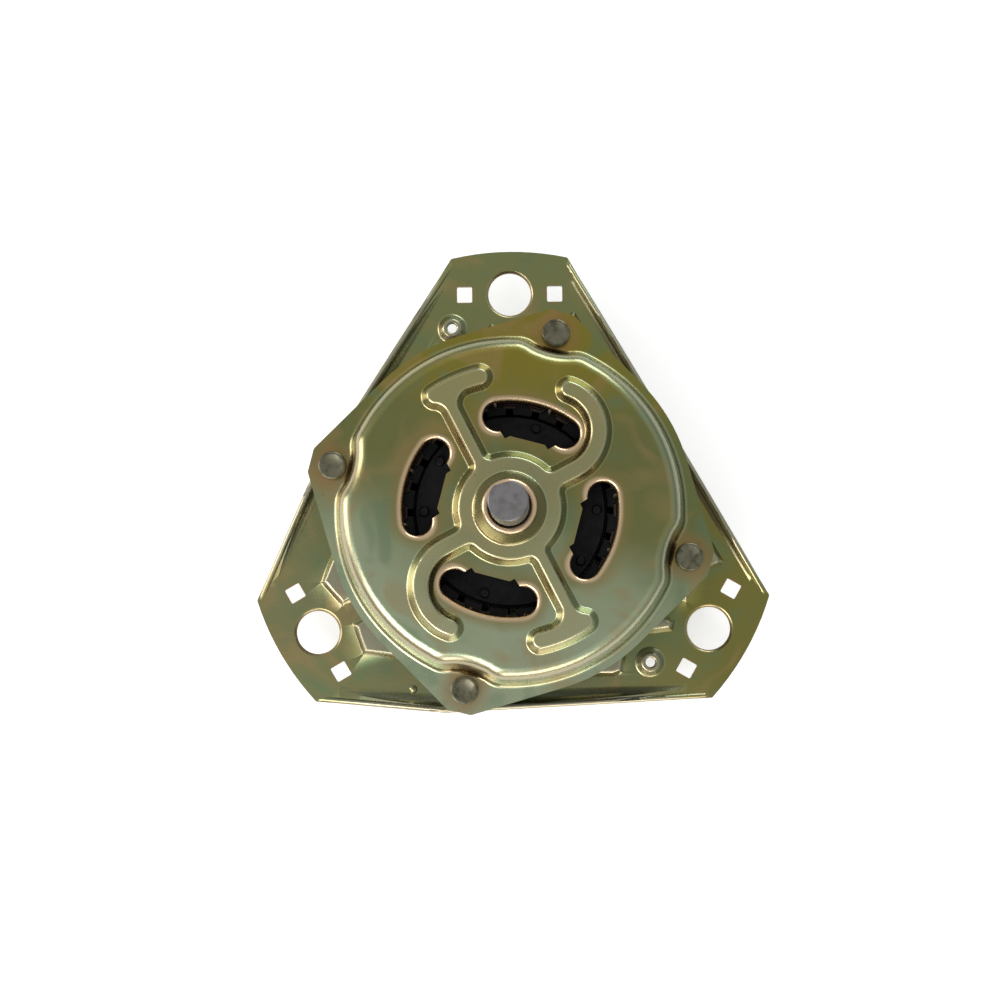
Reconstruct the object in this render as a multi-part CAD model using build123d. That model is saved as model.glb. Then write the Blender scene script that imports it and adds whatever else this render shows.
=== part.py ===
"""Wash motor of a twin-tub washing machine: single-phase induction motor with drawn sheet-steel covers.

Millimetres. +Z runs along the shaft to its driving end, and the plate's first lobe points to +Y. The origin
is on the shaft axis in the rear cover's hub face, on which the motor stands. Levels in this script are
counted from the mounting plate's upper face, and save() lifts every node to the origin.
"""

import math
import os

from build123d import *

CENTRE_UP = (Align.CENTER, Align.CENTER, Align.MIN)
overrun = 1.0

# Sheet metal
cover_sheet = 1.5
plate_sheet = 2.0

# Through screws: one at each corner of the motor body
screw_angles = (75, 165, 255, 345)
screw_radius = 2.0
screw_hole_clearance = 0.25
screw_head_radius = 4.4
screw_head_height = 3.0
screw_head_rim = 0.9
screw_head_dish = 0.45
screw_head_round = 0.5
screw_end_margin = 1.4
screw_point_chamfer = 0.6
washer_thickness = 1.1
washer_radius = 3.8
washer_gap_width = 0.8
nut_width = 7.0
nut_height = 3.2
nut_pocket_gap = 0.3
nut_chamfer = 0.5

# Body outline: a round body with a truncated corner at each screw
body_radius = 57.7
screw_circle_offset = 0.1
screw_circle_radius = body_radius + screw_circle_offset
corner_projection = 7.3
corner_reach = body_radius + corner_projection
corner_tangent_angle = 31
corner_round = 2.6
stack_inset = 2.0

# Drawn dome of either cover: a tapered wall, dented beside each screw
flange_width = 3.1
wall_lean = 2.6
dome_foot_radius = body_radius - flange_width
dome_crown_radius = dome_foot_radius - wall_lean
dome_depth = 17.0
dome_shoulder = 4.0
dome_foot_round = 1.4
dent_depth = 2.6
dent_reach = dome_foot_radius - dent_depth
dent_radius = 19.6
dent_edge_round = 8.0
dent_search_share = 0.4

# Vents: four kidney slots, each with a tab folded inwards along its inner side
vent_outer_radius = 33.1
vent_inner_radius = 24.3
vent_half_angle = 22
vent_edge_round = 1.2
vent_lip_depth = 1.8
vent_lip_thickness = 1.25
tab_line_radius = 22.3
tab_half_angle = 14.3
notch_tip_radius = 21.6
notch_half_angle = 18.4
window_half_angle = 22
tab_length = 6.5
tab_bend_round = 0.8

# Stiffening ribs round the hub: two T ribs and two C ribs, half a turn apart
rib_height = 3.0
rib_slope = 33
rib_edge_round = 1.2
rib_foot_round = 0.8
hub_radius = 17.6
hub_join_round = 1.2
tee_width = 7.0
tee_axis_angle = 116.7
tee_axis_offset = 1.75
tee_head_radius = 41.5
tee_head_width = 8.5
tee_head_start_angle = 102.4
tee_head_sweep = 20.6
tee_join_round = 3.0
cee_width = 8.3
cee_centre = (14.2, 23.7)
cee_radius = 13.4
cee_start_angle = -63
cee_sweep = 134

# Collar of the front cover, round the shaft
collar_foot_radius = 11.2
collar_top_radius = 8.3
collar_height = 11.0
collar_hole_radius = 6.6
collar_foot_round = 0.8
collar_top_round = 1.2
collar_hole_round = 0.4

# Mounting plate
mount_circle_radius = 75.0
mount_angles = (90, 210, 330)
mount_hole_radius = 7.15
mount_hole_round = 1.1
lobe_margin = 14.3
lobe_radius = mount_circle_radius + lobe_margin
lobe_half_angle = 12.6
lobe_corner_round = 0.8
bulge_margin = 3.4
bulge_radius = corner_reach + bulge_margin
bulge_angles = (169.5, 250.5)
bulge_round = 20.0
square_hole_width = 5.1
square_hole_length = 5.4
square_hole_round = 0.5
square_hole_offset = 15.1
boss_inset = 8.6
boss_circle_radius = mount_circle_radius - boss_inset
boss_angles = (106.9, 313.1)
boss_foot_radius = 4.8
boss_top_radius = 2.9
boss_height = 1.8
boss_hole_radius = 1.6
boss_foot_round = 1.2
boss_top_round = 0.8
boss_rim_round = 0.5
pip_inset = 9.2
pip_circle_radius = mount_circle_radius - pip_inset
pip_angle = 239.5
pip_radius = 1.6

# Folded lip along each long side of the plate, with a round top: it is highest at the middle and runs out
# at the corners. Each side, named by the angle that it faces, has its own hollow along the lip's foot.
lip_height = 5.0
lip_thickness = 1.9
lip_half_length = 65.0
lip_sides = {30: 1.7, 150: 2.8, 270: 4.0}

# Raised seat on the plate, which carries the stator stack. Polar points as shares of the mounting circle's
# radius, from the third channel's side at 210 degrees on to 30 degrees. The other half mirrors them.
seat_height = 2.0
seat_slope = 38
seat_corner_round = 1.0
seat_edge_round = 1.4
seat_mirror_angle = 210
seat_edge_shares = (
    (0.760, 213.2),
    (0.853, 212.8),
    (0.901, 221.9),
    (0.806, 230.6),
    (0.760, 240.0),
    (0.820, 248.0),
    (0.835, 255.0),
    (0.812, 262.0),
    (0.711, 271.0),
    (0.836, 302.0),
    (0.847, 305.2),
    (0.792, 309.0),
    (0.772, 314.0),
    (0.800, 319.4),
    (0.872, 324.2),
    (0.853, 327.2),
    (0.760, 326.8),
    (0.760, 333.2),
    (0.861, 333.4),
    (0.908, 344.4),
    (0.966, 347.3),
)

# Stator
stack_height = 39.5
stator_bore_radius = 30.6
slot_count = 24
slot_mouth_width = 2.4
tooth_tip_height = 1.8
yoke_width = 9.7
slot_top_radius = stator_bore_radius + tooth_tip_height
slot_bottom_radius = body_radius - stack_inset - yoke_width
tooth_width = 4.2
liner_gap = 0.05
liner_thickness = 0.35
liner_cuff = 2.0
wedge_thickness = 0.8
wedge_inset = 0.25
coil_gap = 0.1
coil_clear = 0.5
ring_gap = 0.3
start_ring_inset = 1.0
start_ring_inner_radius = slot_top_radius + start_ring_inset
start_ring_outer_radius = 38.4
run_ring_inner_radius = start_ring_outer_radius + ring_gap
coil_split_radius = run_ring_inner_radius + ring_gap
winding_wall_gap = 0.4
run_ring_outer_radius = dent_reach - wall_lean - plate_sheet - winding_wall_gap
run_ring_height = 9.0
start_ring_height = 7.5
ring_round = 2.2
lace_count = 12
lace_radius = 0.5
lace_gap = 0.02
lace_corner = 1.2

# Rotor
air_gap = 0.4
rotor_radius = stator_bore_radius - air_gap
bar_count = 30
bar_circle_radius = 27.0
bar_radius = 1.6
end_ring_height = 3.5
end_ring_inner_radius = 20.5
end_ring_step = 0.3
end_ring_round = 0.5
rotor_pip_count = 10
rotor_pip_radius = 1.5
rotor_pip_height = 1.8
rotor_pip_round = 0.4

# Shaft
shaft_radius = 6.0
shaft_tip_height = 104.5
shaft_chamfer = 0.4
output_radius = 5.95
output_start = 1.0
relief_depth = 0.3
relief_width = 1.0
flat_distance = 5.3
flat_length = 13.0
flat_angle = 104.5

# Bearings: self-aligning sintered bushes with a ball-shaped outside, an oil felt and a sprung retainer each
bush_ball_radius = 9.5
bush_length = 11.0
bearing_clearance = 0.03
bush_seat_gap = 0.03
lower_bush_centre = -10.3
retainer_sheet = 0.8
retainer_skirt_radius = 12.6
retainer_cap_distance = 4.1
retainer_gap = 0.1
retainer_rim_gap = 0.3
felt_gap = 0.15
cup_wall_gap = 0.15
end_play = 0.3
thrust_washer_thickness = 0.8
thrust_washer_radius = 8.6
upper_thrust_washers = 3
lower_thrust_washers = 2
washer_spacing = 0.02
washer_bore_gap = 0.05
slinger_radius = 11.5
slinger_thickness = 0.8
snap_ring_radius = 8.0
snap_ring_thickness = 1.2
snap_groove_depth = 0.6
snap_gap_width = 4.0
spacer_radius = 8.5
thrust_pad_radius = 6.4
thrust_pad_height = 1.0

# Lead grommet, splices and thermal protector
grommet_circle_radius = 41.3
grommet_angle = 353
grommet_neck_radius = 4.0
grommet_flange_radius = 5.4
grommet_flange = 1.2
grommet_bore_radius = 2.6
grommet_gap = 0.05
splice_radius = 1.6
splice_length = 14.0
splice_bore_radius = 0.9
splice_pitch = 3.6
splice_count = 3
protector_length = 16.0
protector_width = 8.0
protector_height = 3.8
protector_round = 1.2
protector_angle = 30
rest_gap = 0.02

# Levels along the shaft, all from the plate's upper face
seat_level = seat_height
stack_top = seat_level + stack_height
flange_top = stack_top + cover_sheet
face_level = flange_top + dome_depth
hub_level = face_level + rib_height
collar_top = hub_level + collar_height
lower_face_level = -dome_depth
lower_hub_level = lower_face_level - rib_height
lower_hub_floor = lower_hub_level + plate_sheet
half_pitch = 180 / len(mount_angles)
upper_hub_ceiling = hub_level - cover_sheet
wall_slope = wall_lean / dome_depth


def polar(radius, angle):
    """Point at a radius and an angle in degrees."""
    return (radius * math.cos(math.radians(angle)), radius * math.sin(math.radians(angle)))


def disc(radius, low, high):
    """Round bar between two levels."""
    return Pos(0, 0, low) * Cylinder(radius, high - low, align=CENTRE_UP)


def ring(outer, inner, low, high):
    """Tube between two levels."""
    return disc(outer, low, high) - disc(inner, low - overrun, high + overrun)


def turned(shape, angles):
    """Copies of a shape turned about the shaft axis."""
    return [Rot(0, 0, angle) * shape for angle in angles]


def at_level(shape, level):
    """Edges of a shape that lie flat at a level."""
    near = cover_sheet / 100
    return [
        e
        for e in shape.edges()
        if abs(e.bounding_box().min.Z - level) < near and abs(e.bounding_box().max.Z - level) < near
    ]


def even(count, start=0):
    """Angles of an even pattern."""
    return [start + 360 * i / count for i in range(count)]


def join(shapes):
    """Union of several shapes."""
    shapes = list(shapes)
    return shapes[0].fuse(*shapes[1:]) if len(shapes) > 1 else shapes[0]


def ball(radius, low, high, level):
    """Slice of a ball centred on the axis at a level, between two distances from its centre."""
    slab = disc(radius + overrun, level + low, level + high)
    return Pos(0, 0, level) * Sphere(radius) & slab


def save(name, *shapes):
    """Writes one node, lifted to the origin: every solid in it, as one STEP file."""
    lift = Pos(0, 0, -lower_hub_level)
    solids = [lift * solid for shape in shapes for solid in shape.solids()]
    shape = solids[0] if len(solids) == 1 else Compound(children=solids)
    export_step(shape, f"parts/{name}.step")


def body_outline(inset):
    """Outline shared by the front cover's flange and, a little smaller, the stator stack."""
    radius = body_radius - inset
    reach = corner_reach - inset
    lean = math.radians(corner_tangent_angle)
    half_width = (radius - reach * math.cos(lean)) / math.sin(lean)
    corner_angle = math.degrees(math.atan2(half_width, reach))
    corner_distance = math.hypot(half_width, reach)
    edges = []
    for angle in screw_angles:
        points = [
            polar(radius, angle - corner_tangent_angle),
            polar(corner_distance, angle - corner_angle),
            polar(corner_distance, angle + corner_angle),
            polar(radius, angle + corner_tangent_angle),
        ]
        edges += FilletPolyline(*points, radius=corner_round).edges()
        between = 360 / len(screw_angles) - 2 * corner_tangent_angle
        edges += CenterArc((0, 0), radius, angle + corner_tangent_angle, between).edges()
    return make_face(edges)


def dome_form(inset, reach_down):
    """Drawn dome as a solid on z = 0. The inset gives its inner side, and reach_down goes on below z = 0."""
    foot = dome_foot_radius - inset + wall_slope * reach_down
    crown = dome_crown_radius - inset + wall_slope * inset
    height = dome_depth - inset + reach_down
    form = Pos(0, 0, -reach_down) * Cone(foot, crown, height, align=CENTRE_UP)
    dent_foot = dent_radius + inset - wall_slope * reach_down
    dent_crown = dent_radius + inset + wall_slope * (dome_depth + overrun)
    dent = Cone(dent_foot, dent_crown, dome_depth + overrun + reach_down, align=CENTRE_UP)
    dent = Pos(dent_reach + dent_radius, 0, -reach_down) * dent
    form = form - turned(dent, screw_angles)
    form = fillet(dent_edges(form), dent_edge_round)
    return fillet(form.edges().group_by(Axis.Z)[-1], dome_shoulder - inset)


def dent_edges(form):
    """The upright edges where the dents meet the wall."""
    upright = []
    for edge in form.edges():
        low, high = edge.bounding_box().min.Z, edge.bounding_box().max.Z
        middle = edge.center()
        angle = math.degrees(math.atan2(middle.Y, middle.X)) % 360
        beside = min(abs(angle - screw) for screw in screw_angles)
        if high - low > dome_depth / 2 and beside < corner_tangent_angle * dent_search_share:
            upright.append(edge)
    return upright


def rib_outline():
    """Hub ring with two T ribs and two C ribs, as one flat outline."""
    hub = Circle(hub_radius)
    across = polar(tee_axis_offset, tee_axis_angle + 90)
    stem_end = polar(tee_head_radius, tee_axis_angle)
    stem = Line((across[0], across[1]), (stem_end[0] + across[0], stem_end[1] + across[1]))
    head_arc = CenterArc((0, 0), tee_head_radius, tee_head_start_angle, tee_head_sweep)
    head = SlotArc(head_arc, tee_head_width)
    cee_arc = CenterArc(cee_centre, cee_radius, cee_start_angle, cee_sweep)
    cee_tail = Line(cee_arc @ 0, cee_arc @ 0 - (cee_arc % 0) * cee_radius)
    cee_tip = cee_arc @ 1
    cee = trace(cee_arc, cee_width) + trace(cee_tail, cee_width)
    cee = cee + Pos(cee_tip.X, cee_tip.Y) * Circle(cee_width / 2)
    tee = trace(stem, tee_width) + head
    joins = [v for v in tee.vertices() if is_tee_join(v)]
    tee = fillet(joins, tee_join_round)
    half = tee + cee
    outline = hub + half + Rot(0, 0, 180) * half
    joins = [v for v in outline.vertices() if abs(v.center().length - hub_radius) < hub_join_round / 2]
    return fillet(joins, hub_join_round)


def is_tee_join(vertex):
    """Whether a vertex is where the T rib's stem meets the inner side of its head."""
    distance = vertex.center().length
    inner = tee_head_radius - tee_head_width / 2
    return abs(distance - inner) < tee_head_width / 8


def rib_inset(sheet, rise):
    """How far a rib's sloped side, or its inner side in a sheet, stands in at a height over the face."""
    lean = math.radians(rib_slope)
    return sheet / math.cos(lean) + rise * math.tan(lean)


def ribs(sheet):
    """The raised ribs with their sloped sides, and the hollow under them, both standing on z = 0."""
    outline = rib_outline()
    raised = extrude(outline, rib_height, taper=rib_slope)
    raised = fillet(raised.edges().group_by(Axis.Z)[-1], rib_edge_round)
    hollow = extrude(offset(outline, -rib_inset(sheet, -sheet)), rib_height, taper=rib_slope)
    return raised, hollow


def rib_feet(shell):
    """Edges where the ribs meet the cover's face."""
    rim = Pos(0, 0, dome_depth) * rib_outline()
    return [e for e in at_level(shell, dome_depth) if rim.distance_to(e @ 0.5) < cover_sheet / 100]


def vent_slot(grow):
    """Kidney slot centred on +X, with its sides moved out by grow."""
    middle = (vent_outer_radius + vent_inner_radius) / 2
    width = vent_outer_radius - vent_inner_radius + 2 * grow
    return SlotArc(CenterArc((0, 0), middle, -vent_half_angle, 2 * vent_half_angle), width)


def vent_window():
    """The part of a vent cut past its rolled edge, with a notch at each end of the tab."""
    half = [
        ((vent_inner_radius + vent_outer_radius) / 2, window_half_angle),
        (vent_inner_radius, window_half_angle),
        (notch_tip_radius, notch_half_angle),
        (tab_line_radius, tab_half_angle),
    ]
    points = [polar(radius, angle) for radius, angle in half]
    points += [(x, -y) for x, y in reversed(points)]
    return make_face(Polyline(*points, close=True))


def add_vents(cover, face, sheet):
    """Cuts the four vents in a cover whose face is at a level, and adds their lips and tabs."""
    slot = vent_slot(0)
    for angle in screw_angles:
        turn = Rot(0, 0, angle)
        lip = extrude(vent_slot(vent_lip_thickness), vent_lip_depth)
        cover = cover + turn * Pos(0, 0, face - sheet - vent_lip_depth) * lip
        cover = cover - turn * Pos(0, 0, face - sheet - vent_lip_depth - overrun) * extrude(slot, dome_depth)
    rolled = [e for e in at_level(cover, face) if on_vent(e)]
    cover = fillet(rolled, vent_edge_round)
    tab_edge = tab_line_radius * math.cos(math.radians(tab_half_angle))
    tab_half_width = tab_line_radius * math.sin(math.radians(tab_half_angle))
    tab = Pos(tab_edge - sheet, 0, face - tab_length) * Box(
        sheet, 2 * tab_half_width, tab_length - tab_bend_round, align=(Align.MIN, Align.CENTER, Align.MIN)
    )
    for angle in screw_angles:
        turn = Rot(0, 0, angle)
        cut = extrude(vent_window(), dome_depth)
        cover = cover - turn * Pos(0, 0, face - sheet - vent_lip_depth - overrun) * cut
        cover = cover + turn * tab
    return cover


def on_vent(edge):
    """Whether an edge on the cover's face belongs to a vent slot."""
    ends = [math.hypot(v.X, v.Y) for v in edge.vertices()]
    return all(vent_inner_radius - overrun < end < vent_outer_radius + overrun for end in ends)


def front_cover():
    """Drawn front cover: flange, dome, ribs, hub, collar and vents."""
    flange = Pos(0, 0, stack_top - flange_top) * extrude(body_outline(0), cover_sheet)
    cover = flange + dome_form(0, 0)
    foot = [e for e in at_level(cover, 0) if edge_radius(e) < (dome_foot_radius + body_radius) / 2]
    cover = fillet(foot, dome_foot_round)
    cover = cover + upper_collar()
    cover = drawn(cover, cover_sheet)
    cavity = Cone(
        collar_foot_radius - cover_sheet,
        collar_top_radius - cover_sheet,
        collar_height,
        align=CENTRE_UP,
    )
    hub_top = dome_depth + rib_height
    cover = fillet(circles(cover, (0, 0), hub_top, collar_foot_radius), collar_foot_round)
    cover = cover - Pos(0, 0, hub_top - cover_sheet) * cavity
    cover = cover - disc(collar_hole_radius, hub_top - cover_sheet, hub_top + collar_height + overrun)
    cover = fillet(circles(cover, (0, 0), hub_top + collar_height, collar_hole_radius), collar_hole_round)
    return Pos(0, 0, flange_top) * cover - screw_holes(stack_top - overrun, flange_top + overrun)


def drawn(outside, sheet):
    """Drawn shell of a cover, from its solid outer form: adds ribs, hollows it and cuts the vents."""
    raised, hollow = ribs(sheet)
    shell = outside + Pos(0, 0, dome_depth) * raised
    shell = fillet(rib_feet(shell), rib_foot_round)
    shell = shell - dome_form(sheet, sheet + overrun)
    shell = shell - Pos(0, 0, dome_depth - sheet) * hollow
    return add_vents(shell, dome_depth, sheet)


def edge_radius(edge):
    """Distance from the axis to the middle of an edge."""
    middle = edge @ 0.5
    return math.hypot(middle.X, middle.Y)


def circles(shape, centre, level, radius):
    """Round edges at a level with a centre and a radius."""
    near = cover_sheet / 10
    found = []
    for edge in at_level(shape, level):
        if edge.geom_type == GeomType.CIRCLE and abs(edge.radius - radius) < near:
            if math.dist(centre, (edge.arc_center.X, edge.arc_center.Y)) < near:
                found.append(edge)
    return found


def upper_collar():
    """Collar round the shaft, as a solid cone with a rounded top, over a dome on z = 0."""
    cone = Cone(collar_foot_radius, collar_top_radius, collar_height, align=CENTRE_UP)
    cone = fillet(cone.edges().group_by(Axis.Z)[-1], collar_top_round)
    return Pos(0, 0, dome_depth + rib_height) * cone


def screw_holes(low, high):
    """Cutters for the four through screws."""
    hole = Pos(screw_circle_radius, 0, 0) * disc(screw_radius + screw_hole_clearance, low, high)
    return turned(hole, screw_angles)


def plate_outline():
    """Outline of the mounting plate: three lobes, one straight side and two that bulge beside a screw."""
    edges = []
    for angle in mount_angles:
        edges += CenterArc((0, 0), lobe_radius, angle - lobe_half_angle, 2 * lobe_half_angle).edges()
        points = side_points(angle + half_pitch)
        edges += Polyline(*points).edges() if len(points) > 2 else Line(*points).edges()
    face = make_face(edges)
    bulges = [v for v in face.vertices() if v.center().length < (bulge_radius + lobe_radius) / 2]
    face = fillet(bulges, bulge_round)
    corners = [v for v in face.vertices() if v.center().length > lobe_radius - lobe_corner_round]
    return fillet(corners, lobe_corner_round)


def side_points(normal):
    """Corner points of the plate's side that faces an angle, counter-clockwise."""
    reach = half_pitch - lobe_half_angle
    start = polar(lobe_radius, normal - reach)
    end = polar(lobe_radius, normal + reach)
    middle = [polar(bulge_radius, a) for a in bulge_angles if abs(a - normal % 360) < reach]
    return [start, *middle, end]


def plate_lip(normal, foot_round, prism):
    """Folded lip along one side of the plate, clipped to the plate's outline."""
    points = side_points(normal)
    lengths = [math.dist(a, b) for a, b in zip(points, points[1:])]
    passed = -sum(lengths) / 2
    bars = []
    for start, end, length in zip(points, points[1:], lengths):
        bars += lip_run(start, end, passed, length, foot_round)
        passed += length
    return join(bars) & prism


def lip_run(start, end, passed, length, foot_round):
    """One straight run of a lip, from a place along its side, and the hollow along its foot."""
    along = Vector(end[0] - start[0], end[1] - start[1], 0).normalized()
    inward = Vector(-along.Y, along.X, 0)
    middle = Vector(start[0], start[1], 0) - along * passed
    top_round = lip_thickness / 2
    arch_radius = (lip_half_length**2 + lip_height**2) / (2 * lip_height)
    low, high = -plate_sheet / 2, lip_height - top_round
    sides = Polyline((0, high), (0, low), (lip_thickness, low), (lip_thickness, high))
    section = make_face(sides.edges() + CenterArc((top_round, high), top_round, 0, 180).edges())
    centre = middle + Vector(0, 0, lip_height - arch_radius)
    first = math.degrees((passed - lip_height) / arch_radius)
    sweep_angle = math.degrees((length + 2 * lip_height) / arch_radius)
    axis = Axis((centre.X, centre.Y, centre.Z), (inward.X, inward.Y, inward.Z))
    blank = Plane(origin=middle, x_dir=inward, z_dir=along) * section
    bead = revolve(blank.rotate(axis, first), axis, sweep_angle)

    base = Polyline(
        (lip_thickness, foot_round),
        (lip_thickness, low),
        (lip_thickness + foot_round, low),
        (lip_thickness + foot_round, 0),
    )
    hollow = CenterArc((lip_thickness + foot_round, foot_round), foot_round, 180, 90)
    foot_plane = Plane(origin=middle + along * passed, x_dir=inward, z_dir=along)
    foot = extrude(foot_plane * make_face(base.edges() + hollow.edges()), length)
    arch_plane = Plane(origin=centre - Vector(0, 0, top_round), z_dir=inward)
    foot = foot & arch_plane * Cylinder(arch_radius, 2 * (lip_thickness + foot_round))
    return [bead, foot]


def seat_corners():
    """Corner points of the raised seat, with its three channels, mirrored about one lobe's axis."""
    half = [(share * mount_circle_radius, angle) for share, angle in seat_edge_shares]
    other = [(radius, 2 * seat_mirror_angle - angle) for radius, angle in reversed(half)]
    return [polar(radius, angle) for radius, angle in half + other]


def raised_seat():
    """The seat as a solid, and the hollow pressed under it."""
    sharp = make_face(Polyline(*seat_corners(), close=True))
    inset = seat_height * math.tan(math.radians(seat_slope))
    top = offset(sharp, -inset, kind=Kind.INTERSECTION)
    raised = loft([sharp, Pos(0, 0, seat_height) * top], ruled=True)
    corners = [e for e in raised.edges() if e.bounding_box().size.Z > seat_height / 2]
    raised = fillet(corners, seat_corner_round)
    raised = fillet(raised.edges().group_by(Axis.Z)[-1], seat_edge_round)
    hollow = extrude(offset(sharp, -plate_sheet, kind=Kind.INTERSECTION), seat_height)
    return raised, Pos(0, 0, -plate_sheet) * hollow


def plate_hole_cutters():
    """Square holes, screw holes, and the pockets that clear the nuts."""
    low, high = -plate_sheet - overrun, seat_height + overrun
    square = RectangleRounded(square_hole_length, square_hole_width, square_hole_round)
    cutters = []
    for side in (-1, 1):
        place = Pos(mount_circle_radius, side * square_hole_offset, low)
        cutters += turned(place * extrude(square, high - low), mount_angles)
    pocket_radius = nut_width / math.sqrt(3) + nut_pocket_gap
    pocket = Pos(screw_circle_radius, 0, 0) * disc(pocket_radius, low, 0)
    return cutters + turned(pocket, screw_angles) + screw_holes(low, high)


def mounting_plate():
    """Rear cover and mounting plate in one pressing."""
    outline = plate_outline()
    plate = Pos(0, 0, -plate_sheet) * extrude(outline, plate_sheet)
    hole = Pos(mount_circle_radius, 0, 0) * disc(mount_hole_radius, -plate_sheet - overrun, overrun)
    plate = plate - turned(hole, mount_angles)
    rims = [
        e
        for e in at_level(plate, 0)
        if e.geom_type == GeomType.CIRCLE and abs(e.radius - mount_hole_radius) < mount_hole_round / 4
    ]
    plate = fillet(rims, mount_hole_round)
    raised, hollow = raised_seat()
    plate = plate + raised - hollow
    prism = Pos(0, 0, -plate_sheet) * extrude(outline, plate_sheet + lip_height + overrun)
    for normal, foot_round in lip_sides.items():
        plate = plate + plate_lip(normal, foot_round, prism)
    plate = plate - flip(dome_form(plate_sheet, plate_sheet + overrun))
    plate = plate + rear_cup()
    plate = add_bosses(plate)
    plate = plate - plate_hole_cutters()
    return plate


def flip(shape):
    """Turns a cover form that stands on z = 0 upside down, about the plate's face."""
    return mirror(shape, about=Plane.XY)


def rear_cup():
    """Rear cover's cup, with the same dome, ribs and vents as the front cover and no collar."""
    cup = drawn(dome_form(0, plate_sheet), plate_sheet)
    spot = Pos(*polar(grommet_circle_radius, grommet_angle), 0)
    return flip(cup - spot * disc(grommet_neck_radius, 0, dome_depth + overrun))


def add_bosses(plate):
    """Small drawn bosses for the earth screws, and the locating pip."""
    for angle in boss_angles:
        centre = polar(boss_circle_radius, angle)
        spot = Pos(*centre, 0)
        boss = Cone(boss_foot_radius, boss_top_radius, boss_height, align=CENTRE_UP)
        boss = fillet(boss.edges().group_by(Axis.Z)[-1], boss_top_round)
        plate = plate + spot * boss
        plate = fillet(circles(plate, centre, 0, boss_foot_radius), boss_foot_round)
        under = Cone(boss_foot_radius - plate_sheet / 2, boss_hole_radius, plate_sheet, align=CENTRE_UP)
        plate = plate - spot * Pos(0, 0, -plate_sheet) * under
        plate = plate - spot * disc(boss_hole_radius, -plate_sheet - overrun, boss_height + overrun)
        plate = fillet(circles(plate, centre, boss_height, boss_hole_radius), boss_rim_round)
    pip = Pos(*polar(pip_circle_radius, pip_angle), -pip_radius / 2) * Sphere(pip_radius)
    return plate + pip


def slot_half_width(radius):
    """Half the width of a winding slot at a radius, between two straight-sided teeth."""
    return radius * math.tan(math.pi / slot_count) - tooth_width / 2


def slot_section(inner, outer, inset):
    """Section across a winding slot between two radii, on +X."""
    near = slot_half_width(inner) - inset
    far = slot_half_width(outer) - inset
    return make_face(Polyline((inner, -near), (outer, -far), (outer, far), (inner, near), close=True))


def stator_core():
    """Laminated stack with its winding slots."""
    core = Pos(0, 0, seat_level) * extrude(body_outline(stack_inset), stack_height)
    core = core - disc(stator_bore_radius, seat_level - overrun, stack_top + overrun)
    mouth = Rectangle(2 * (slot_top_radius - stator_bore_radius) + overrun, slot_mouth_width)
    section = slot_section(slot_top_radius, slot_bottom_radius, 0) + Pos(stator_bore_radius, 0) * mouth
    slot = Pos(0, 0, seat_level - overrun) * extrude(section, stack_height + 2 * overrun)
    core = core - turned(slot, even(slot_count))
    return core - screw_holes(seat_level - overrun, stack_top + overrun)


def in_slots(section, cuff):
    """One bar in every slot, longer than the stack by a cuff at each end."""
    bar = Pos(0, 0, seat_level - cuff) * extrude(section, stack_height + 2 * cuff)
    return turned(bar, even(slot_count))


def slot_liners():
    """Folded insulation in every slot, open towards the rotor."""
    inner_edge = slot_top_radius + wedge_thickness
    shell = slot_section(inner_edge, slot_bottom_radius - liner_gap, liner_gap)
    room = slot_section(
        inner_edge - overrun, slot_bottom_radius - liner_gap - liner_thickness, liner_gap + liner_thickness
    )
    return in_slots(shell - room, liner_cuff)


def slot_wedges():
    """Strips that close the slots."""
    low = slot_top_radius + liner_gap
    high = slot_top_radius + wedge_thickness - liner_gap
    return in_slots(slot_section(low, high, wedge_inset), liner_cuff / 2)


def end_ring(inner, outer, low, high):
    """End turns of one winding as a rounded ring."""
    return fillet(ring(outer, inner, low, high).edges().filter_by(GeomType.CIRCLE), ring_round)


def winding(slot_inner, slot_outer, ring_inner, ring_outer, ring_height):
    """One winding: its bars in all slots and its end turns above and below the stack."""
    reach = liner_cuff + coil_clear
    inset = liner_gap + liner_thickness + coil_gap
    bars = in_slots(slot_section(slot_inner, slot_outer, inset), reach + ring_round)
    top = end_ring(ring_inner, ring_outer, stack_top + reach, stack_top + reach + ring_height)
    bottom = end_ring(ring_inner, ring_outer, seat_level - reach - ring_height, seat_level - reach)
    return join([top, bottom, *bars])


def lace_loops():
    """Cord loops that tie the end turns, over the teeth between the slots."""
    near = start_ring_inner_radius - lace_gap - lace_radius
    far = run_ring_outer_radius + lace_gap + lace_radius
    low = liner_cuff + coil_clear - lace_gap - lace_radius
    high = liner_cuff + coil_clear + run_ring_height + lace_gap + lace_radius
    path = Plane.XZ * RectangleRounded(far - near, high - low, lace_corner).face().outer_wire()
    start = path.edges()[0]
    section = Plane(origin=start @ 0, z_dir=start % 0) * Circle(lace_radius)
    loop = Pos((near + far) / 2, 0, (low + high) / 2) * sweep(section, path=path)
    upper = Pos(0, 0, stack_top) * loop
    lower = Pos(0, 0, seat_level) * mirror(loop, about=Plane.XY)
    angles = even(lace_count, 180 / slot_count)
    return turned(upper, angles) + turned(lower, angles)


def bush(centre):
    """Sintered bush with a ball-shaped outside, centred at a level."""
    body = ball(bush_ball_radius, -bush_length / 2, bush_length / 2, centre)
    bore = disc(shaft_radius + bearing_clearance, centre - bush_length, centre + bush_length)
    return body - bore


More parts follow.
